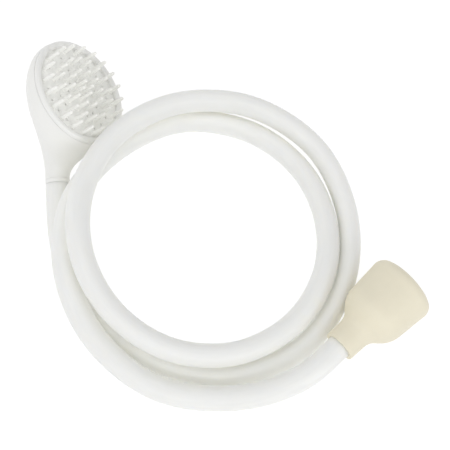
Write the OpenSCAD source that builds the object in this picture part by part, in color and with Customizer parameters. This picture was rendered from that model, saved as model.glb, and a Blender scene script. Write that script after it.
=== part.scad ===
// Handheld bath sprayer for washing pets: a nubbed spray handset that swivels on the tail of a
// plain white hose, the hose wound in two and a half loose turns, and a push-on tap adaptor.
// The origin lies on the surface that the part rests on, under the middle of the handset.
// +Z is up and the tap socket of the adaptor opens along +X.

/* [Hose] */
// Outside diameter of the hose
hose_d = 15; // [14:0.5:15]
// Bore of the hose
hose_bore = 10; // [9:0.5:10]
// Share by which the wound hose goes oval where its coil is tight
oval = 0.13; // [0.11:0.01:0.13]

/* [Handset] */
// Diameter of the moulded head at its rim
face_d = 69; // [68:0.5:70]
// Wall of the moulded head
head_wall = 2.2; // [1.8:0.1:2.6]
// Tilt of the spray face from level
face_tilt = 46.5; // [45:0.5:47]
// Height of the rim plane's centre above the surface below
face_h = 31.6; // [31.6:0.1:32.1]
// Turn of the handset about the vertical
face_turn = -33; // [-35:0.5:-32.5]
// Lift of the neck's axis out of the rim plane
neck_lift = 9; // [8:0.5:10]

/* [Spray face] */
// Length of the washing nubs
nub_len = 10.3; // [8:0.1:10.3]
// Diameter of a nub at its tip
nub_tip_d = 2.1; // [1.6:0.1:2.2]
// Diameter of a nub at its root
nub_root_d = 2.9; // [2.3:0.1:3]
// Diameter of the spray holes
spray_d = 0.9; // [0.8:0.1:1.4]
// Diameter of the dimple round each spray hole
dimple_d = 2.8; // [2:0.1:3]

/* [Tap adaptor] */
// Bore that pushes over the tap
tap_bore = 30; // [26:0.5:31]
// Depth of that bore
tap_depth = 27; // [24:0.5:28]
// Length of the adaptor
adaptor_len = 55.6; // [55:0.1:58]
// How far the hose goes into the adaptor
hose_in = 15; // [13:0.5:15]

/* [Hidden] */
$fn = 64;

white_abs = [0.91, 0.91, 0.90];
white_pvc = [0.94, 0.94, 0.92];
cream_rubber = [0.93, 0.90, 0.80];
seal_black = [0.12, 0.12, 0.12];

hose_r = hose_d / 2;
bore_r = hose_bore / 2;
rim_r = face_d / 2;
up = [0, 0, 1];

// ---- where the handset and the adaptor lie ----
head_at = [10.4, -0.9, face_h];
neck_end = [0, -49, -30.5];
// A direction of the handset's own frame, turned the way the handset lies
function tilted(v) = [v[0] * cos(face_tilt) + v[2] * sin(face_tilt), v[1],
                      v[2] * cos(face_tilt) - v[0] * sin(face_tilt)];
function turned(v) = [v[0] * cos(face_turn) - v[1] * sin(face_turn),
                      v[0] * sin(face_turn) + v[1] * cos(face_turn), v[2]];
seam_at = head_at + turned(tilted(neck_end));
seam_dir = -turned(tilted([0, cos(neck_lift), sin(neck_lift)]));
adaptor_at = [16.2, -223, 21.3];

// ---- spray face, measured up from the rim plane ----
seat_r = 32;
ledge_r = 29.8;
ledge_z = -3.5;
gasket_t = 1;
plate_z = 0;
plate_t = 1.8;
dimple_depth = 0.7;
plate_r = 31;
gap_z = 0.5;

// ---- swivel, measured from the hose's end towards the head ----
collar_l = 2.4;
collar_edge = 0.3;
end_play = 0.3;
swivel_r = 5;
hose_sides = 12;
barb_r = bore_r * cos(180 / hose_sides) - 0.02;
stem_r = barb_r - 0.4;
swivel_bore = 5.08;
tail_len = 14;
spigot_len = 12.4;
way_r = 2.8;
bead_z = 10;
bead_r = 5.6;
bead_groove_r = 5.7;
ring_z = 6.4;
ring_r = 0.66;
ring_mid_r = 4.4;
ring_groove_r = 3.72;
neck_bore_l = 17;

// ---- smooth curve through a list of knots ----
function knot_blend(a, b, c, d, t) =
    0.5 * (2 * b + (c - a) * t + (2 * a - 5 * b + 4 * c - d) * pow(t, 2)
           + (3 * b - a - 3 * c + d) * pow(t, 3));
function along(rows, u) =
    let (last = len(rows) - 1, i = min(floor(u), last - 1))
    knot_blend(rows[max(i - 1, 0)], rows[i], rows[i + 1], rows[min(i + 2, last)], u - i);
function unit(v) = v / norm(v);

// Triangles of a skin over equal rings, with flat ends
function skin_sides(rings, sides) =
    [for (i = [0:rings - 2], j = [0:sides - 1])
        let (k = (j + 1) % sides, a = i * sides, b = a + sides)
        each [[a + j, b + j, b + k], [a + j, b + k, a + k]]];
function skin_ends(rings, sides) =
    [[for (j = [0:sides - 1]) j],
     [for (j = [sides - 1:-1:0]) (rings - 1) * sides + j]];
module skin(rings) {
    sides = len(rings[0]);
    polyhedron(points = [for (ring = rings) each ring],
               faces = concat(skin_sides(len(rings), sides), skin_ends(len(rings), sides)));
}

// ================= moulded head =================
// Cross sections from the neck to the rim: throat side y and z, back side y and z, half width
head_rows = [
    [-50.2, -23.1, -47.8, -37.9, 7.5],
    [-45.7, -22.4, -43.3, -37.2, 7.5],
    [-42.3, -20.3, -35.0, -35.5, 8.7],
    [-39.5, -17.0, -23.0, -32.5, 13.0],
    [-37.6, -13.0, -7.0, -27.5, 20.5],
    [-36.3, -9.5, 10.5, -21.5, 28.0],
    [-35.4, -6.5, 25.5, -14.0, 33.0],
    [-34.9, -4.0, 34.0, -6.0, 34.8],
    [-rim_r, 0, rim_r, 0, rim_r]
];
head_sides = 40;
outer_steps = 24;
inner_steps = 16;
cavity_from = 2.4;

function head_ring(u, wall) =
    let (row = along(head_rows, u),
         mid = [0, row[0] + row[2], row[1] + row[3]] / 2,
         half = [0, row[0] - row[2], row[1] - row[3]] / 2,
         tall = half * (1 - wall / norm(half)),
         wide = row[4] - wall)
    [for (j = [0:head_sides - 1])
        let (a = j * 360 / head_sides) mid + cos(a) * tall + [sin(a) * wide, 0, 0]];

module on_head() {
    translate(head_at) rotate([0, face_tilt, face_turn]) children();
}

// Along the neck: z = 0 at the hose's end, +Z towards the head
module on_neck() {
    on_head() translate(neck_end) rotate([neck_lift - 90, 0, 0]) children();
}

module disc_ring(r_in, r_out, z_low, z_high) {
    rotate_extrude() translate([r_in, z_low]) square([r_out - r_in, z_high - z_low]);
}

module head_cup() {
    last = len(head_rows) - 1;
    skin(concat(
        [for (i = [0:outer_steps]) head_ring(i * last / outer_steps, 0)],
        [for (i = [0:inner_steps])
            head_ring(last - i * (last - cavity_from) / inner_steps, head_wall)]));
}

module head_shell() {
    color(white_abs) difference() {
        union() {
            on_head() head_cup();
            on_head() disc_ring(ledge_r, seat_r + 1, ledge_z - 1.5, -0.01);
        }
        on_head() translate([0, 0, ledge_z]) cylinder(r = seat_r, h = 10);
        on_neck() translate([0, 0, -5]) cylinder(r = hose_r + 3, h = 5 + collar_l + end_play);
        on_neck() cylinder(r = swivel_bore, h = neck_bore_l);
        on_neck() translate([0, 0, bead_z - 1]) cylinder(r = bead_groove_r, h = 2);
    }
}

module face_gasket() {
    color(seal_black) on_head()
        disc_ring(ledge_r + 0.2, seat_r - 0.2, ledge_z, ledge_z + gasket_t);
}

// Nubs and spray holes stand in rings; each row: ring radius, count, first angle
nub_rings = [[27.6, 20, 14], [19.3, 16, 8], [11.3, 10, 4], [4, 4, 20]];
hole_rings = [[24, 20, 5], [15.4, 16, 19], [7.6, 8, 0], [0, 1, 0]];

module in_rings(rings) {
    for (ring = rings, i = [0:ring[1] - 1])
        rotate([0, 0, ring[2] + i * 360 / ring[1]]) translate([ring[0], 0, 0]) children();
}

module nub() {
    tip_r = nub_tip_d / 2;
    cylinder(r1 = nub_root_d / 2, r2 = tip_r, h = nub_len - tip_r + 0.2, $fn = 24);
    translate([0, 0, nub_len - tip_r + 0.2]) sphere(r = tip_r, $fn = 24);
}

module spray_hole() {
    translate([0, 0, -plate_t - 1]) cylinder(d = spray_d, h = plate_t + 2, $fn = 16);
    translate([0, 0, -dimple_depth]) cylinder(d1 = spray_d, d2 = dimple_d, h = dimple_depth + 0.01,
                                              $fn = 24);
}

module face_plate() {
    color(white_abs) on_head() difference() {
        union() {
            translate([0, 0, plate_z - plate_t]) cylinder(r = plate_r, h = plate_t);
            disc_ring(plate_r - 1.6, plate_r, ledge_z + gasket_t, plate_z - plate_t + 0.1);
            translate([0, 0, plate_z - 0.2]) in_rings(nub_rings) nub();
        }
        translate([0, 0, plate_z]) in_rings(hole_rings) spray_hole();
    }
}

// The ring that holds the plate down: a skirt in the head's seat and a domed lip over the plate
// Outer half of the lip: distance in from the rim, height; then the half that falls to the plate
lip_rise = [[0.1, 0], [0.2, 0.7], [0.6, 1.4], [1.3, 1.9], [2.1, 2]];
lip_fall = [[-0.2, 1.8], [0.6, 1.3], [0.9, 0.8]];

module bezel_ring() {
    foot_z = ledge_z + gasket_t + 0.3;
    color(white_abs) on_head() rotate_extrude($fn = 96) polygon(concat(
        [[plate_r, foot_z], [seat_r, foot_z], [seat_r, gap_z]],
        [for (p = lip_rise) [rim_r - p[0], gap_z + p[1]]],
        [for (p = lip_fall) [plate_r - p[0], gap_z + p[1]]],
        [[plate_r - 0.9, plate_z], [plate_r, plate_z]]));
}

// ================= swivel =================
module swivel_tail() {
    ring_low = ring_z - 0.8;
    ring_high = ring_z + 0.8;
    color(white_abs) on_neck() rotate_extrude() polygon([
        [way_r, -tail_len], [stem_r - 0.2, -tail_len],
        [barb_r, -tail_len + 3], [stem_r, -tail_len + 3],
        [barb_r, -tail_len + 7], [stem_r, -tail_len + 7],
        [barb_r, -tail_len + 11], [stem_r, -tail_len + 11],
        [stem_r, 0], [hose_r - collar_edge, 0], [hose_r, collar_edge],
        [hose_r, collar_l - collar_edge], [hose_r - collar_edge, collar_l],
        [swivel_r, collar_l], [swivel_r, ring_low], [ring_groove_r, ring_low],
        [ring_groove_r, ring_high], [swivel_r, ring_high], [swivel_r, bead_z - 0.6],
        [bead_r, bead_z - 0.4], [bead_r, bead_z], [swivel_r, bead_z + 0.7],
        [swivel_r - 0.3, spigot_len], [way_r, spigot_len]
    ]);
}

module tail_oring() {
    color(seal_black) on_neck() translate([0, 0, ring_z])
        rotate_extrude() translate([ring_mid_r, 0]) circle(r = ring_r, $fn = 24);
}

// ================= hose =================
// The coil turns about this point; each row: angle, radius of the turn, lift of the underside and
// how much of the full oval the hose takes there
coil_at = [7, -121];
coil = [
    [150, 85.5, 0, 0], [180, 80, 0, 0], [210, 79.6, 0, 0], [240, 83.1, 0, 0.1],
    [270, 85.8, 0, 0.6], [300, 85.7, 0, 1], [330, 86.8, 1, 1], [360, 89.9, 5, 1],
    [390, 89.5, 12, 1], [420, 86.5, 19.5, 1], [450, 82.5, 25.5, 1], [480, 78.5, 28.5, 0.1],
    [510, 75.5, 29, 0.2], [540, 74.2, 23.5, 0.4], [570, 74.4, 18.5, 0.4], [600, 74.4, 15, 0.5],
    [630, 73.5, 11.6, 0.5], [660, 72.6, 8.2, 0.5], [690, 72.5, 3.5, 0.7], [720, 75, 0.2, 1],
    [750, 78.5, 0, 1], [780, 82.5, 0.5, 1], [810, 83.5, 2, 1], [840, 85, 13.5, 0.1],
    [870, 87, 17, 0], [900, 91, 12.5, 0], [930, 96.1, 8.6, 0], [960, 99.4, 9.6, 0.1]
];
hose_steps = 2;
// Straight run at each end
run = 15;
function squeeze(share) = oval * min(max(share, 0), 1);
function coil_knot(row) =
    [coil_at[0] + row[1] * cos(row[0]), coil_at[1] + row[1] * sin(row[0]),
     row[2] + hose_r * (1 + squeeze(row[3])), row[3]];
function with_round(p) = [p[0], p[1], p[2], 0];
function place(k) = [k[0], k[1], k[2]];

lead_in = with_round(seam_at + seam_dir * run);
lead_out = with_round(adaptor_at - [run, 0, 0]);
turns = concat([lead_in], [for (row = coil) coil_knot(row)], [lead_out]);
last_turn = len(turns) - 1;
first_pull = norm(place(turns[1] - lead_in));
last_pull = norm(place(lead_out - turns[last_turn - 1]));
knots = concat([turns[1] - 2 * with_round(seam_dir * first_pull)], turns,
               [turns[last_turn - 1] + 2 * with_round([last_pull, 0, 0])]);
coil_rings = [for (i = [0:last_turn * hose_steps]) along(knots, 1 + i / hose_steps)];
ring_knots = concat([with_round(seam_at)], coil_rings,
                    [with_round(adaptor_at), with_round(adaptor_at + [hose_in, 0, 0])]);

// Ring centres, kept high enough that the hose rests on the surface
squeezes = [for (k = ring_knots) squeeze(k[3])];
middles = [for (k = ring_knots) [k[0], k[1], max(k[2], hose_r * (1 + squeeze(k[3])))]];
ring_count = len(middles);

function heading(i) =
    i == 0 ? seam_dir : i >= ring_count - 3 ? [1, 0, 0]
    : i == 1 ? seam_dir : unit(middles[i + 1] - middles[i - 1]);
function hose_ring(i, r) =
    let (fore = heading(i), side = unit(cross(up, fore)), top = cross(fore, side))
    [for (j = [0:hose_sides - 1])
        let (a = j * 360 / hose_sides)
        middles[i] + side * r * (1 - squeezes[i]) * cos(a)
                   + top * r * (1 + squeezes[i]) * sin(a)];

// The wall is one skin: out along the outside, back along the bore
module hose_wall() {
    rings = concat([for (i = [0:ring_count - 1]) hose_ring(i, hose_r)],
                   [for (i = [ring_count - 1:-1:0]) hose_ring(i, bore_r)],
                   [hose_ring(0, hose_r)]);
    wrap = (len(rings) - 1) * hose_sides;
    polyhedron(points = [for (i = [0:len(rings) - 2]) each rings[i]],
               faces = [for (f = skin_sides(len(rings), hose_sides)) [for (p = f) p % wrap]]);
}

module hose() {
    color(white_pvc) hose_wall();
}

// Least clear space between two turns of the hose, taken on the ring centres and halfway points
walk = [for (i = [0:ring_count - 2]) each [middles[i], (middles[i] + middles[i + 1]) / 2]];
walk_oval = [for (i = [0:ring_count - 2]) each [squeezes[i], squeezes[i]]];
far_apart = 8;
function reach(v, s) = hose_r * norm([norm([v[0], v[1]]) * (1 - s), v[2] * (1 + s)]);
gaps = [for (i = [0:len(walk) - 1 - far_apart])
    min([for (j = [i + far_apart:len(walk) - 1])
        let (d = walk[j] - walk[i], v = unit(d))
        norm(d) - reach(v, walk_oval[i]) - reach(v, walk_oval[j])])];
steps_l = [for (i = [1:ring_count - 1]) norm(middles[i] - middles[i - 1])];
function total(v, i = 0) = i < len(v) ? v[i] + total(v, i + 1) : 0;
echo(least_gap_mm = min(gaps), hose_length_mm = total(steps_l), hose_rings = ring_count);
echo(seam_at = seam_at, seam_dir = seam_dir);

// ================= tap adaptor =================
throat_r = 5.5;
socket_r = hose_r + 0.03;
insert_flange = 1.5;
insert_way_r = 3.6;
// Outline of the rubber moulding: distance from the neck end, radius
adaptor_outline = [
    [0, 9.6], [0.5, 9.9], [10, 10.1], [13, 10.5], [16, 11.8], [19, 14.5], [22, 17],
    [25, 18.6], [28, 19.5], [34, 20.1], [44, 20.8]
];
lip_outline = [
    [7, 21.2], [5.1, 21.3], [3.1, 20.9], [1.4, 19.9], [0.4, 18.4], [0, 16.8]
];

module adaptor_turned() {
    translate(adaptor_at) rotate([0, 90, 0]) children();
}

module tap_adaptor() {
    bore = tap_bore / 2;
    floor_z = adaptor_len - tap_depth;
    flange_z = hose_in + insert_flange;
    color(cream_rubber) adaptor_turned() rotate_extrude($fn = 96) polygon(concat(
        [for (p = adaptor_outline) [p[1], p[0]]],
        [for (p = lip_outline) [p[1], adaptor_len - p[0]]],
        [[bore + 0.8, adaptor_len], [bore, adaptor_len - 0.8], [bore, floor_z],
         [throat_r + 4, floor_z - 3], [throat_r, floor_z - 6], [throat_r, flange_z],
         [socket_r, flange_z], [socket_r, 0]]));
}

// Barbed sleeve that keeps the hose's end open inside the adaptor's neck
module hose_insert() {
    z = hose_in;
    color(white_abs) adaptor_turned() rotate_extrude() polygon([
        [insert_way_r, z - 13], [stem_r - 0.2, z - 13], [barb_r, z - 10.5],
        [stem_r, z - 10.5], [barb_r, z - 6.5], [stem_r, z - 6.5],
        [stem_r, z], [hose_r - 0.1, z], [hose_r - 0.1, z + insert_flange],
        [insert_way_r, z + insert_flange]
    ]);
}

tap_adaptor();
hose_insert();
hose();
swivel_tail();
tail_oring();
head_shell();
face_gasket();
face_plate();
bezel_ring();
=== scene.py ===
from math import acos, cos, pi, radians, sin

import bpy
from mathutils import Matrix, Vector


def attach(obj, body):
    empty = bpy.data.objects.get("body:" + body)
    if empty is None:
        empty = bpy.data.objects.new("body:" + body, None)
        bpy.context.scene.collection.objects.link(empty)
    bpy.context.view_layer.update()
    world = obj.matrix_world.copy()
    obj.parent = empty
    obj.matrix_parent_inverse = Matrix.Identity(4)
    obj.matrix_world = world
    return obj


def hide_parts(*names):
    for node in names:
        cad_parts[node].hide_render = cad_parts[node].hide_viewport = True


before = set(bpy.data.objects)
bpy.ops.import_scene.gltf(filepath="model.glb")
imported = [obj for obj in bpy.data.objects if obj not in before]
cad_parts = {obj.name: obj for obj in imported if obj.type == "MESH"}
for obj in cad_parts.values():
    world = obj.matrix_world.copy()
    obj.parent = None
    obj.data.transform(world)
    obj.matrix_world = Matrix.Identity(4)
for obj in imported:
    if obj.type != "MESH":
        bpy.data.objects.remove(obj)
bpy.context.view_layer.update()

# ======================= camera =======================
# A long lens looks steeply down on the sprayer lying on the table, with the handset away to the
# upper left and the tap adaptor near to the lower right. It aims at the table inside the coil.
aim = Vector((0.0246, -0.117, 0.0))
camera_turn = radians(-43.25)
camera_height = radians(70)
camera_distance = 0.85
lens_length = 110.2
sensor_width = 36
away = Vector((-sin(camera_turn), cos(camera_turn), 0.0))
up = Vector((0, 0, 1))


def put_in_scene(name, data):
    made = bpy.data.objects.new(name, data)
    bpy.context.collection.objects.link(made)
    return made


def aim_from(thing, place):
    thing.location = place
    thing.rotation_mode = "QUATERNION"
    thing.rotation_quaternion = (aim - thing.location).to_track_quat("-Z", "Y")


camera_data = bpy.data.cameras.new("camera")
camera_data.sensor_width = sensor_width
camera_data.lens = lens_length
camera = put_in_scene("camera", camera_data)
aim_from(camera, aim + camera_distance * (sin(camera_height) * up - cos(camera_height) * away))
bpy.context.scene.camera = camera

# ======================= hose =======================
# Smooth extruded PVC hose, white and slightly milky. It leaves the handset's swivel tail, lies in
# two and a half loose turns that climb over each other, and ends in the neck of the adaptor. It is
# pressed a little oval where the turns are tightest.
hose_radius = 0.0075
hose_bore = 0.005
end_rounding = 0.0006
full_oval = 0.13
seam = Vector((-0.034842, -0.029945, 0.010605))
seam_heading = Vector((-0.633101, -0.766543, -0.107682))
adaptor_neck = Vector((0.0162, -0.223, 0.0213))
straight_run = 0.015
inside_adaptor = 0.015
coil_middle = Vector((0.007, -0.121, 0.0))
# angle in degrees, radius of the turn, lift of the hose's underside, share of the full oval
coil = [
    (150, 0.0855, 0, 0), (180, 0.0800, 0, 0), (210, 0.0796, 0, 0), (240, 0.0831, 0, 0.1),
    (270, 0.0858, 0, 0.6), (300, 0.0857, 0, 1), (330, 0.0868, 0.001, 1), (360, 0.0899, 0.005, 1),
    (390, 0.0895, 0.012, 1), (420, 0.0865, 0.0195, 1), (450, 0.0825, 0.0255, 1),
    (480, 0.0785, 0.0285, 0.1), (510, 0.0755, 0.029, 0.2), (540, 0.0742, 0.0235, 0.4),
    (570, 0.0744, 0.0185, 0.4), (600, 0.0744, 0.015, 0.5), (630, 0.0735, 0.0116, 0.5),
    (660, 0.0726, 0.0082, 0.5), (690, 0.0725, 0.0035, 0.7), (720, 0.0750, 0.0002, 1),
    (750, 0.0785, 0, 1), (780, 0.0825, 0.0005, 1), (810, 0.0835, 0.002, 1),
    (840, 0.0850, 0.0135, 0.1), (870, 0.0870, 0.017, 0), (900, 0.0910, 0.0125, 0),
    (930, 0.0961, 0.0086, 0), (960, 0.0994, 0.0096, 0.1),
]
start_steps = 6
knot_steps = 10
end_steps = 12
hose_sides = 56
bore_steps = 4


def oval_for(share):
    return full_oval * min(max(share, 0.0), 1.0)


def with_share(point, share=0.0):
    return Vector((*point, share))


def coil_knot(angle, radius, lift, share):
    a = radians(angle)
    height = lift + hose_radius * (1 + oval_for(share))
    return with_share(coil_middle + Vector((radius * cos(a), radius * sin(a), height)), share)


def between_knots(a, b, c, d, t):
    """The point at share t of the way from b to c, on a smooth line that also heeds a and d."""
    return 0.5 * (
        2 * b + (c - a) * t + (2 * a - 5 * b + 4 * c - d) * t ** 2
        + (3 * b - a - 3 * c + d) * t ** 3
    )


def smooth_line(knots, steps):
    """Points from the second knot to the last but one, which itself is left out."""
    return [
        between_knots(*knots[i - 1:i + 3], step / steps)
        for i in range(1, len(knots) - 2)
        for step in range(steps)
    ]


lead_in = with_share(seam + seam_heading * straight_run)
lead_out = with_share(adaptor_neck - Vector((straight_run, 0, 0)))
turns = [lead_in] + [coil_knot(*row) for row in coil] + [lead_out]
first_pull = (turns[1].xyz - lead_in.xyz).length
last_pull = (lead_out.xyz - turns[-2].xyz).length
knots = (
    [turns[1] - 2 * with_share(seam_heading * first_pull)]
    + turns
    + [turns[-2] + 2 * with_share((last_pull, 0, 0))]
)
last_stretch = Vector((straight_run + inside_adaptor, 0, 0))
line = [with_share(seam.lerp(lead_in.xyz, i / start_steps)) for i in range(start_steps)]
line += smooth_line(knots, knot_steps) + [lead_out]
line += [with_share(lead_out.xyz + last_stretch * i / end_steps) for i in range(1, end_steps + 1)]
line_end = len(line) - 1
hose_ovals = [oval_for(k.w) for k in line]
hose_middles = [
    Vector((k.x, k.y, max(k.z, hose_radius * (1 + oval)))) for k, oval in zip(line, hose_ovals)
]
hose_headings = [
    (hose_middles[min(i + 1, line_end)] - hose_middles[max(i - 1, 0)]).normalized()
    for i in range(len(line))
]


def circle(count):
    """Cosine and sine at equal steps round one turn."""
    return [(cos(2 * pi * j / count), sin(2 * pi * j / count)) for j in range(count)]


def hose_ring(i, radius, slide):
    """A slightly oval ring round the hose's middle line, slid along it from point i."""
    fore = hose_headings[i]
    side = up.cross(fore).normalized()
    top = fore.cross(side)
    wide, tall = radius * (1 - hose_ovals[i]), radius * (1 + hose_ovals[i])
    middle = hose_middles[i] + fore * slide
    return [middle + side * wide * c + top * tall * s for c, s in circle(hose_sides)]


def skin_over(name, rings, place=Matrix.Identity(4), travelled=None):
    """A closed skin over equal rings of points, with the last ring joined to the first."""
    sides, count = len(rings[0]), len(rings)
    points = [place @ p for ring in rings for p in ring]
    faces, spots = [], []
    for i in range(count):
        for j in range(sides):
            k, n = (j + 1) % sides, (i + 1) % count
            faces.append((i * sides + j, i * sides + k, n * sides + k, n * sides + j))
            spots += [(i, j), (i, j + 1), (i + 1, j + 1), (i + 1, j)]
    mesh = bpy.data.meshes.new(name)
    mesh.from_pydata(points, [], faces)
    if travelled:
        layer = mesh.uv_layers.new(name="length_and_turn")
        for corner, (i, j) in zip(layer.data, spots):
            corner.uv = (travelled[min(i, count - 1)], j / sides)
    mesh.shade_smooth()
    mesh.update()
    return put_in_scene(name, mesh)


def hose_skin():
    # each stop of the skin's round trip: point of the middle line, radius, slide along the line
    corner = [(0, 0), (0.13, 0.8), (0.45, 0.98), (1, 1)]
    start = [(0, hose_radius - end_rounding * (1 - h), end_rounding * d) for d, h in corner]
    outside = [(i, hose_radius, 0.0) for i in range(1, line_end)]
    end = [(line_end, r, -slide) for _, r, slide in reversed(start)]
    bore_points = [line_end, *range(line_end - bore_steps, bore_steps - 1, -bore_steps), 0]
    course = start + outside + end + [(i, hose_bore, 0.0) for i in bore_points]
    travelled = [0.0]
    for a, b in zip(course, course[1:]):
        travelled.append(travelled[-1] + (hose_middles[a[0]] - hose_middles[b[0]]).length)
    return skin_over("hose_tube", [hose_ring(*stop) for stop in course], travelled=travelled)


def plastic(name, colour, roughness, shade, shade_size, grain, grain_size, milky=0.0,
            depth=0.002, coordinates="Object", stretch=(1, 1, 1)):
    """Moulded or extruded plastic: a slow drift of shade and gloss, and a fine grain in relief."""
    gloss_swing = 0.05
    relief_height = 0.0001
    refraction = 1.5
    red_green_blue_depth = (1.0, 0.95, 0.85)
    material = bpy.data.materials.new(name)
    material.use_nodes = True
    nodes, links = material.node_tree.nodes, material.node_tree.links
    shader = nodes["Principled BSDF"]
    shader.inputs["IOR"].default_value = refraction
    shader.inputs["Subsurface Weight"].default_value = milky
    shader.inputs["Subsurface Radius"].default_value = red_green_blue_depth
    shader.inputs["Subsurface Scale"].default_value = depth
    source = nodes.new("ShaderNodeTexCoord")
    mapping = nodes.new("ShaderNodeMapping")
    mapping.inputs["Scale"].default_value = stretch
    links.new(source.outputs[coordinates], mapping.inputs["Vector"])
    drift = nodes.new("ShaderNodeTexNoise")
    drift.inputs["Scale"].default_value = shade_size
    drift.inputs["Detail"].default_value = 4
    links.new(mapping.outputs["Vector"], drift.inputs["Vector"])
    ramp = nodes.new("ShaderNodeValToRGB")
    darker, lighter = ramp.color_ramp.elements
    darker.position = 0.3
    lighter.position = 0.7
    darker.color = (*[c * (1 - shade) for c in colour], 1)
    lighter.color = (*[min(c * (1 + shade), 1) for c in colour], 1)
    links.new(drift.outputs["Fac"], ramp.inputs["Fac"])
    links.new(ramp.outputs["Color"], shader.inputs["Base Color"])
    gloss = nodes.new("ShaderNodeMapRange")
    gloss.inputs["To Min"].default_value = roughness - gloss_swing
    gloss.inputs["To Max"].default_value = roughness + gloss_swing
    links.new(drift.outputs["Fac"], gloss.inputs["Value"])
    links.new(gloss.outputs["Result"], shader.inputs["Roughness"])
    fine = nodes.new("ShaderNodeTexNoise")
    fine.inputs["Scale"].default_value = grain_size
    fine.inputs["Detail"].default_value = 3
    links.new(mapping.outputs["Vector"], fine.inputs["Vector"])
    relief = nodes.new("ShaderNodeBump")
    relief.inputs["Strength"].default_value = grain
    relief.inputs["Distance"].default_value = relief_height
    links.new(fine.outputs["Fac"], relief.inputs["Height"])
    links.new(relief.outputs["Normal"], shader.inputs["Normal"])
    return material


hose = hose_skin()
hose_white = plastic("white_hose_pvc", (0.968, 0.963, 0.895), 0.38, shade=0.012, shade_size=6.0,
                     grain=0.15, grain_size=60.0, milky=0.7, depth=0.006,
                     coordinates="UV", stretch=(8, 4, 1))
hose.data.materials.append(hose_white)
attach(hose, "root")
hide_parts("hose")

# ======================= tap adaptor =======================
# One soft rubber moulding, cream coloured: a slim neck gripping the hose, a bell that widens to
# the tap socket and a rounded lip round the mouth. Shallow rings inside the mouth grip the tap.
adaptor_length = 0.0556
tap_bore = 0.015
lip_rounding = 0.0012
lip_flare = 0.0002
neck_rounding = 0.0003
socket_depth = 0.027
funnel_step = 0.004
funnel_depth = 0.003
funnel_rounding = 0.001
throat = 0.0055
hose_stop = 0.0165
grip_levels = (0.0475, 0.0415, 0.0355)
grip_depth = 0.0008
grip_slope = 0.001
grip_width = 0.004
grip_rounding = 0.0004
# outer radius and distance from the neck's end, from there to the mouth
adaptor_side = [
    (0.0096, 0.0), (0.0099, 0.0006), (0.0101, 0.010), (0.0105, 0.013), (0.0118, 0.016),
    (0.0145, 0.019), (0.0170, 0.022), (0.0186, 0.025), (0.0195, 0.028), (0.0201, 0.034),
    (0.0208, 0.044), (0.0212, 0.0486), (0.0213, 0.0505), (0.0209, 0.0525), (0.0199, 0.0542),
    (0.0184, 0.0552), (0.0168, adaptor_length),
]
side_steps = 4


def curve_through(points, steps):
    """A smooth line through flat points, steps pieces between each pair."""
    points = [Vector(p) for p in points]
    padded = [2 * points[0] - points[1]] + points + [2 * points[-1] - points[-2]]
    return smooth_line(padded, steps) + [points[-1]]


def rounded(corners, steps=5):
    """A closed outline of (radius, height, corner radius), its corners turned into arcs."""
    made = []
    count = len(corners)
    for i, (x, y, r) in enumerate(corners):
        here = Vector((x, y))
        if not r:
            made.append(here)
            continue
        back = (Vector(corners[i - 1][:2]) - here).normalized()
        on = (Vector(corners[(i + 1) % count][:2]) - here).normalized()
        half = acos(max(-1.0, min(1.0, back.dot(on)))) / 2
        reach = r * cos(half) / sin(half)
        middle = here + (back + on).normalized() * (r / sin(half))
        begin, end = here + back * reach - middle, here + on * reach - middle
        turn = begin.angle_signed(end)
        for step in range(steps + 1):
            a = -turn * step / steps
            made.append(middle + Matrix.Rotation(a, 2) @ begin)
    return made


def turned(name, outline, place, sides=128, harden=True):
    """A closed outline of (radius, height) turned about the Z axis of place."""
    rings = [[Vector((r * c, r * s, z)) for r, z in outline] for c, s in circle(sides)]
    made = skin_over(name, rings, place=place)
    made.data.flip_normals()
    if harden:
        made.modifiers.new("even_shading", "WEIGHTED_NORMAL")
    return made


def adaptor_inside():
    """From the lip down the tap socket and the hose socket to the neck's end, without its ends."""
    tap_floor = adaptor_length - socket_depth
    grip_rings = []
    for level in grip_levels:
        foot = level - grip_width
        grip_rings += [
            (tap_bore, level, grip_rounding),
            (tap_bore + grip_depth, level - grip_slope, grip_rounding),
            (tap_bore + grip_depth, foot + grip_slope, grip_rounding),
            (tap_bore, foot, grip_rounding),
        ]
    return rounded([
        (*adaptor_side[-1], 0),
        (tap_bore + lip_flare, adaptor_length, lip_rounding),
        *grip_rings,
        (tap_bore, tap_floor, funnel_rounding),
        (throat + funnel_step, tap_floor - funnel_depth, funnel_rounding),
        (throat, tap_floor - 2 * funnel_depth, funnel_rounding),
        (throat, hose_stop, 0),
        (hose_radius, hose_stop, 0),
        (hose_radius, 0.0, neck_rounding),
        (*adaptor_side[0], 0),
    ])[1:-1]


adaptor_place = Matrix.Translation(adaptor_neck) @ Matrix.Rotation(pi / 2, 4, "Y")
adaptor_outline = curve_through(adaptor_side, side_steps) + adaptor_inside()
adaptor = turned("push_on_adaptor", adaptor_outline, adaptor_place, harden=False)
cream = plastic("cream_rubber", (0.81, 0.76, 0.61), 0.55, shade=0.025, shade_size=55.0,
                grain=0.25, grain_size=1800.0, milky=0.12, depth=0.002)
adaptor.data.materials.append(cream)
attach(adaptor, "root")
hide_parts("tap_adaptor")

# ======================= head =======================
# One ABS moulding: a round cup for the spray face that sweeps down into a short neck. The wall is
# thin, with a ledge inside the rim for the seal and a bored neck for the swivel tail.
rim_radius = 0.0345
head_wall = 0.0022
seat_radius = 0.032
ledge_radius = 0.0298
ledge_height = -0.0035
ledge_thickness = 0.0014
seat_bevel = 0.0003
neck_gap = 0.0027
neck_radius = 0.0075
neck_bore = 0.00508
bore_depth = 0.0135
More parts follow.
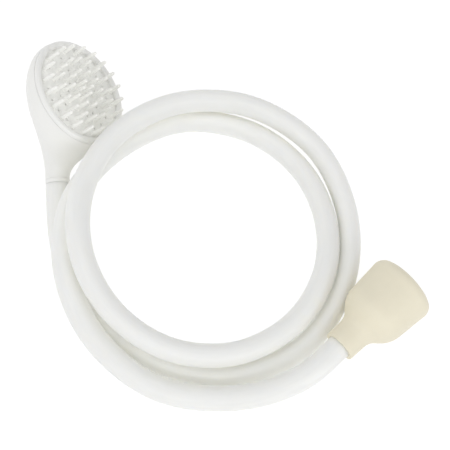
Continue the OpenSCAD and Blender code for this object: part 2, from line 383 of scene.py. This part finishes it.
# throat side y and z, back side y and z, half width, from the neck to the rim
head_rows = [Vector(row) for row in (
    (-0.0502, -0.0231, -0.0478, -0.0379, 0.0075),
    (-0.0457, -0.0224, -0.0433, -0.0372, 0.0075),
    (-0.0423, -0.0203, -0.0350, -0.0355, 0.0087),
    (-0.0395, -0.0170, -0.0230, -0.0325, 0.0130),
    (-0.0376, -0.0130, -0.0070, -0.0275, 0.0205),
    (-0.0363, -0.0095, 0.0105, -0.0215, 0.0280),
    (-0.0354, -0.0065, 0.0255, -0.0140, 0.0330),
    (-0.0349, -0.0040, 0.0340, -0.0060, 0.0348),
    (-rim_radius, 0.0, rim_radius, 0.0, rim_radius),
)]
head_last = len(head_rows) - 1
head_sides = 120
# where along those rows the outer and the inner skin run, and in how many steps
outer_run = (0.75, head_last - 0.02, 84)
inner_run = (head_last - 1.1, 2.5, 30)
head_middle = Vector((0.0104, -0.0009, 0.0316))
head_turn = radians(-33)
head_tilt = radians(46.5)
head_place = (
    Matrix.Translation(head_middle)
    @ Matrix.Rotation(head_turn, 4, "Z")
    @ Matrix.Rotation(head_tilt, 4, "Y")
)
neck_point = Vector((0, -0.049, -0.0305))
neck_tilt = radians(-81)
neck_in_head = Matrix.Translation(neck_point) @ Matrix.Rotation(neck_tilt, 4, "X")


def head_section(at):
    """The row of head_rows at a place that may lie between two of them."""
    i = min(int(at), head_last - 1)
    before, after = head_rows[max(i - 1, 0)], head_rows[min(i + 2, head_last)]
    return between_knots(before, head_rows[i], head_rows[i + 1], after, at - i)


def head_ring(at, wall):
    """An oval ring of the head's skin, drawn in by the wall for its inside."""
    throat_y, throat_z, back_y, back_z, wide = head_section(at)
    middle = Vector((0, throat_y + back_y, throat_z + back_z)) / 2
    half = Vector((0, throat_y - back_y, throat_z - back_z)) / 2
    tall = half * (1 - wall / half.length)
    wide = wide - wall
    return [middle + tall * c + Vector((wide * s, 0, 0)) for c, s in circle(head_sides)]


def head_sweep(run, wall):
    first, last, steps = run
    return [head_ring(first + (last - first) * i / steps, wall) for i in range(steps + 1)]


def face_ring(radius, height):
    """A ring about the spray face's axis, started at the throat."""
    return [Vector((radius * s, -radius * c, height)) for c, s in circle(head_sides)]


def neck_ring(radius, height):
    """A ring about the neck's own axis, in the head's frame and started at the throat."""
    return [neck_in_head @ p for p in face_ring(radius, height)]


def head_skin():
    # drop below the full radius and distance from the edge, for the roundings of neck and rim
    neck_edge = ((0.0001, 0.0), (0.00003, 0.00003), (0.0, 0.0001))
    rim_edge = ((0.00002, 0.0002), (0.00006, 0.0001), (0.00015, 0.00003), (0.0003, 0.0))
    seat = (
        (seat_radius + seat_bevel, 0.0), (seat_radius, -seat_bevel),
        (seat_radius, ledge_height), (ledge_radius, ledge_height),
        (ledge_radius, ledge_height - ledge_thickness),
    )
    rings = [neck_ring(neck_radius - drop, neck_gap + inset) for drop, inset in neck_edge]
    rings += head_sweep(outer_run, 0)
    rings += [face_ring(rim_radius - drop, -inset) for drop, inset in rim_edge]
    rings += [face_ring(radius, height) for radius, height in seat]
    rings += head_sweep(inner_run, head_wall)
    rings += [neck_ring(neck_bore, bore_depth), neck_ring(neck_bore, neck_gap)]
    return skin_over("moulded_head", rings, place=head_place)


white_abs = plastic("white_head_abs", (0.87, 0.87, 0.85), 0.42, shade=0.01, shade_size=35.0,
                    grain=0.12, grain_size=2200.0, milky=0.1, depth=0.002)
head = head_skin()
head.data.materials.append(white_abs)
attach(head, "handset")
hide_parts("head_shell")

# ======================= ring round the face =======================
# A white ABS ring pressed into the head's seat. Its rounded lip lies on the head's rim, with a fine
# groove between the two, and its inner edge holds the spray plate down.
plate_radius = 0.031
plate_height = 0.0
ring_groove = 0.0001
ring_height = 0.0025
ring_overlap = 0.0009
ring_foot = ledge_height + 0.0013
# radius, height and rounding of each corner
ring_outline = rounded([
    (plate_radius, ring_foot, 0.0002), (seat_radius, ring_foot, 0.0002),
    (seat_radius, ring_groove, 0), (rim_radius - 0.00005, ring_groove, 0.0001),
    (rim_radius - 0.00025, 0.0015, 0.0006), (rim_radius - 0.0011, 0.0024, 0.0008),
    (rim_radius - 0.0025, ring_height, 0.0015), (plate_radius - 0.0006, 0.0017, 0.0005),
    (plate_radius - ring_overlap, plate_height, 0.0001), (plate_radius, plate_height, 0),
])
face_surround = turned("face_surround", ring_outline, head_place, sides=192)
face_surround.data.materials.append(white_abs)
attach(face_surround, "handset")
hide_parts("bezel_ring")

# ======================= spray plate with nubs =======================
# One ABS moulding: a flat disc with a skirt that stands on the seal, rings of slim round-ended nubs
# that comb the coat, and rings of fine spray holes between them, each at the foot of a dimple.
plate_thickness = 0.0018
plate_slack = 0.00005
skirt_wall = 0.0016
seal_thickness = 0.001
hole_radius = 0.00045
dimple_radius = 0.0014
dimple_depth = 0.001
dimple_edge = 0.0002
dimple_bevel = 0.0001
dimple_rise = 0.00005
drill_reach = 0.004
plate_sides = 160
pin_sides = 20
nub_height = 0.0103
nub_tip = 0.00105
nub_root = 0.00145
nub_waist = 0.45
root_fillet = 0.0006
root_spread = 0.0007
root_sunk = 0.0004
fillet_steps = 5
tip_steps = 6
# radius of the ring, how many, angle of the first in degrees
nub_rings = [(0.0276, 20, 14), (0.0193, 16, 8), (0.0113, 10, 4), (0.004, 4, 20)]
hole_rings = [(0.024, 20, 5), (0.0154, 16, 19), (0.0076, 8, 0), (0, 1, 0)]


def in_rings(rings):
    for radius, count, first in rings:
        for i in range(count):
            a = radians(first + 360 * i / count)
            yield Matrix.Translation((radius * cos(a), radius * sin(a), 0))


def joined(name, parts):
    bpy.ops.object.select_all(action="DESELECT")
    for part in parts:
        part.select_set(True)
    bpy.context.view_layer.objects.active = parts[0]
    bpy.ops.object.join()
    parts[0].name = name
    return parts[0]


def solid_turned(name, outline, place, sides):
    """A turned solid that closes on its axis; the outline runs from the axis to the axis."""
    points, faces = [place @ Vector((0, 0, outline[0][1]))], []
    for r, z in outline[1:-1]:
        points += [place @ Vector((r * c, r * s, z)) for c, s in circle(sides)]
    points.append(place @ Vector((0, 0, outline[-1][1])))
    last, bands = len(points) - 1, len(outline) - 2
    for j in range(sides):
        k = (j + 1) % sides
        faces.append((0, 1 + k, 1 + j))
        faces.append((last, last - sides + j, last - sides + k))
        for i in range(bands - 1):
            a, b = 1 + i * sides, 1 + (i + 1) * sides
            faces.append((a + j, a + k, b + k, b + j))
    mesh = bpy.data.meshes.new(name)
    mesh.from_pydata(points, [], faces)
    mesh.shade_smooth()
    return put_in_scene(name, mesh)


def plate_disc():
    outer, inner = plate_radius - plate_slack, plate_radius - skirt_wall
    underside, skirt_foot = plate_height - plate_thickness, ledge_height + seal_thickness
    return solid_turned("disc", [
        (0, underside), (inner, underside), (inner, skirt_foot), (outer, skirt_foot),
        (outer, plate_height), (0, plate_height),
    ], head_place, plate_sides)


def drill(place):
    """The space of one spray hole and the dimple over it."""
    dimple_floor = plate_height - dimple_depth
    wide = dimple_radius + dimple_edge
    return solid_turned("drill", [
        (0, -drill_reach), (hole_radius, -drill_reach), (hole_radius, dimple_floor),
        (hole_radius + dimple_edge, dimple_floor + dimple_edge),
        (dimple_radius - dimple_bevel, plate_height - dimple_bevel),
        (wide, plate_height + dimple_rise), (wide, drill_reach), (0, drill_reach),
    ], place, pin_sides)


def drilled(disc):
    drills = joined("drills", [drill(head_place @ spot) for spot in in_rings(hole_rings)])
    cut = disc.modifiers.new("holes", "BOOLEAN")
    cut.operation = "DIFFERENCE"
    cut.solver = "EXACT"
    cut.object = drills
    bpy.context.view_layer.objects.active = disc
    bpy.ops.object.modifier_apply(modifier="holes")
    bpy.data.objects.remove(drills)
    return disc


def nub(place):
    """A slim tapered pin with a round tip and a small fillet at its root."""
    sunk = plate_height - root_sunk
    outline = [(0, sunk), (nub_root + root_spread, sunk)]
    for step in range(fillet_steps + 1):
        a = pi / 2 * step / fillet_steps
        radius = nub_root + root_fillet * (1 - sin(a))
        outline.append((radius, plate_height + root_fillet * (1 - cos(a))))
    outline.append(((nub_root + nub_tip) / 2, plate_height + nub_height * nub_waist))
    for step in range(tip_steps + 1):
        a = pi / 2 * step / tip_steps
        outline.append((nub_tip * cos(a), plate_height + nub_height - nub_tip * (1 - sin(a))))
    return solid_turned("nub", outline, place, pin_sides)


disc = drilled(plate_disc())
nubs = [nub(head_place @ spot) for spot in in_rings(nub_rings)]
spray_face = joined("spray_plate", [disc] + nubs)
spray_face.modifiers.new("even_shading", "WEIGHTED_NORMAL")
plate_white = plastic("white_plate_abs", (0.95, 0.95, 0.92), 0.5, shade=0.012, shade_size=60.0,
                      grain=0.10, grain_size=2500.0)
spray_face.data.materials.clear()
spray_face.data.materials.append(plate_white)
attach(spray_face, "handset")
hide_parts("face_plate")

# ======================= swivel tail =======================
# One round ABS moulding, its barbs pushed into the hose's end. Its spigot snaps into the neck by a
# bead and carries the O-ring in a groove. Its collar shows as a thin band between neck and hose.
tail_bore = 0.0028
tail_foot = -0.014
tail_barb = 0.00481
tail_stem = 0.00441
barb_levels = (-0.011, -0.007, -0.003)
barb_chamfer = 0.0002
collar = 0.0026
collar_rounding = 0.0005
spigot = 0.005
spigot_end = 0.0124
spigot_chamfer = 0.0003
oring_seat = 0.00372
oring_from, oring_to = 0.0056, 0.0072
bead = 0.0056
bead_levels = (0.0094, 0.0096, 0.0100, 0.0107)
tail_rounding = 0.0001
tail_end_rounding = 0.0002
barbs = []
for level in barb_levels:
    barbs += [(tail_barb, level, tail_rounding), (tail_stem, level, tail_rounding)]
tail_outline = rounded([
    (tail_bore, tail_foot, tail_end_rounding),
    (tail_stem - barb_chamfer, tail_foot, tail_end_rounding),
    *barbs,
    (tail_stem, 0, 0), (neck_radius, 0, collar_rounding),
    (neck_radius, collar, tail_rounding), (spigot, collar, 0),
    (spigot, oring_from, tail_rounding), (oring_seat, oring_from, tail_rounding),
    (oring_seat, oring_to, tail_rounding), (spigot, oring_to, tail_rounding),
    (spigot, bead_levels[0], 0), (bead, bead_levels[1], tail_rounding),
    (bead, bead_levels[2], tail_rounding), (spigot, bead_levels[3], tail_rounding),
    (spigot - spigot_chamfer, spigot_end, tail_end_rounding),
    (tail_bore, spigot_end, tail_end_rounding),
], steps=4)
swivel_tail = turned("swivel_tail_turned", tail_outline, head_place @ neck_in_head, sides=96)
swivel_tail.data.materials.append(white_abs)
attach(swivel_tail, "root")
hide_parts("swivel_tail")

# ======================= hose insert and seals =======================
# A barbed ABS sleeve keeps the hose's other end open in the rubber neck. A black rubber O-ring
# seals the swivel, and a flat ring of the same rubber lies on the head's ledge under the plate. All
# three are hidden inside and keep the solids' own shapes, so they only get their finish here.
seal_black = plastic("black_seal_rubber", (0.02, 0.02, 0.021), 0.5, shade=0.1, shade_size=120.0,
                     grain=0.3, grain_size=2600.0)
for node, finish in (
    ("hose_insert", white_abs), ("tail_oring", seal_black), ("face_gasket", seal_black),
):
    part = bpy.data.objects[node]
    part.data.materials.clear()
    part.data.materials.append(finish)

# ======================= floor and room =======================
# A plain pale floor in a bright even room. The eye sees both as white, they light the object a
# little less strongly than that, and the floor keeps the object's soft contact shadow.
floor_reach = 6.0
floor_drop = 0.0001
floor_grey = 0.35
floor_seen, floor_lit = 0.77, 0.62
room_seen, room_lit = 1.0, 0.64
white = (1, 1, 1, 1)


def seen_or_lit(nodes, links, seen, lit):
    """One strength where the eye, a reflection or clear plastic sees it, another as light."""
    rays = nodes.new("ShaderNodeLightPath")
    total = rays.outputs["Is Camera Ray"]
    for kind in ("Is Glossy Ray", "Is Transmission Ray"):
        add = nodes.new("ShaderNodeMath")
        add.operation = "ADD"
        add.use_clamp = True
        links.new(total, add.inputs[0])
        links.new(rays.outputs[kind], add.inputs[1])
        total = add.outputs["Value"]
    level = nodes.new("ShaderNodeMapRange")
    level.inputs["To Min"].default_value = lit
    level.inputs["To Max"].default_value = seen
    links.new(total, level.inputs["Value"])
    return level.outputs["Result"]


floor_mesh = bpy.data.meshes.new("floor")
floor_mesh.from_pydata(
    [(floor_reach * x, floor_reach * y, 0) for x, y in ((-1, -1), (1, -1), (1, 1), (-1, 1))],
    [], [(0, 1, 2, 3)],
)
floor = put_in_scene("floor", floor_mesh)
floor.location.z = -floor_drop
paper = bpy.data.materials.new("pale_floor")
paper.use_nodes = True
nodes, links = paper.node_tree.nodes, paper.node_tree.links
nodes.clear()
matt = nodes.new("ShaderNodeBsdfDiffuse")
matt.inputs["Color"].default_value = (floor_grey, floor_grey, floor_grey, 1)
lift = nodes.new("ShaderNodeEmission")
lift.inputs["Color"].default_value = white
links.new(seen_or_lit(nodes, links, floor_seen, floor_lit), lift.inputs["Strength"])
both = nodes.new("ShaderNodeAddShader")
links.new(matt.outputs["BSDF"], both.inputs[0])
links.new(lift.outputs["Emission"], both.inputs[1])
out = nodes.new("ShaderNodeOutputMaterial")
links.new(both.outputs["Shader"], out.inputs["Surface"])
floor_mesh.materials.append(paper)

world = bpy.data.worlds.new("room")
bpy.context.scene.world = world
world.use_nodes = True
nodes, links = world.node_tree.nodes, world.node_tree.links
sky = nodes["Background"]
sky.inputs["Color"].default_value = white
links.new(seen_or_lit(nodes, links, room_seen, room_lit), sky.inputs["Strength"])

# ======================= lamps =======================
# Four soft square lamps stand well off round the table: two near the viewer, one away to the left
# and one overhead.
lamp_distance = 1.6
right = Vector((away.y, -away.x, 0))


def soft_lamp(name, direction, size, watts):
    data = bpy.data.lights.new(name, "AREA")
    data.size = size
    data.energy = watts
    aim_from(put_in_scene(name, data), aim + direction.normalized() * lamp_distance)


soft_lamp("front_lamp", -0.35 * right - 0.9 * away + up, 1.0, 4.1)
soft_lamp("right_lamp", 0.7 * right - 0.8 * away + 0.5 * up, 0.8, 4.2)
soft_lamp("left_lamp", -0.9 * right + 0.5 * away + 0.35 * up, 0.8, 2.2)
soft_lamp("top_lamp", -0.3 * right + 0.1 * away + 1.2 * up, 0.7, 2.2)

bpy.context.scene.view_settings.view_transform = "Standard"
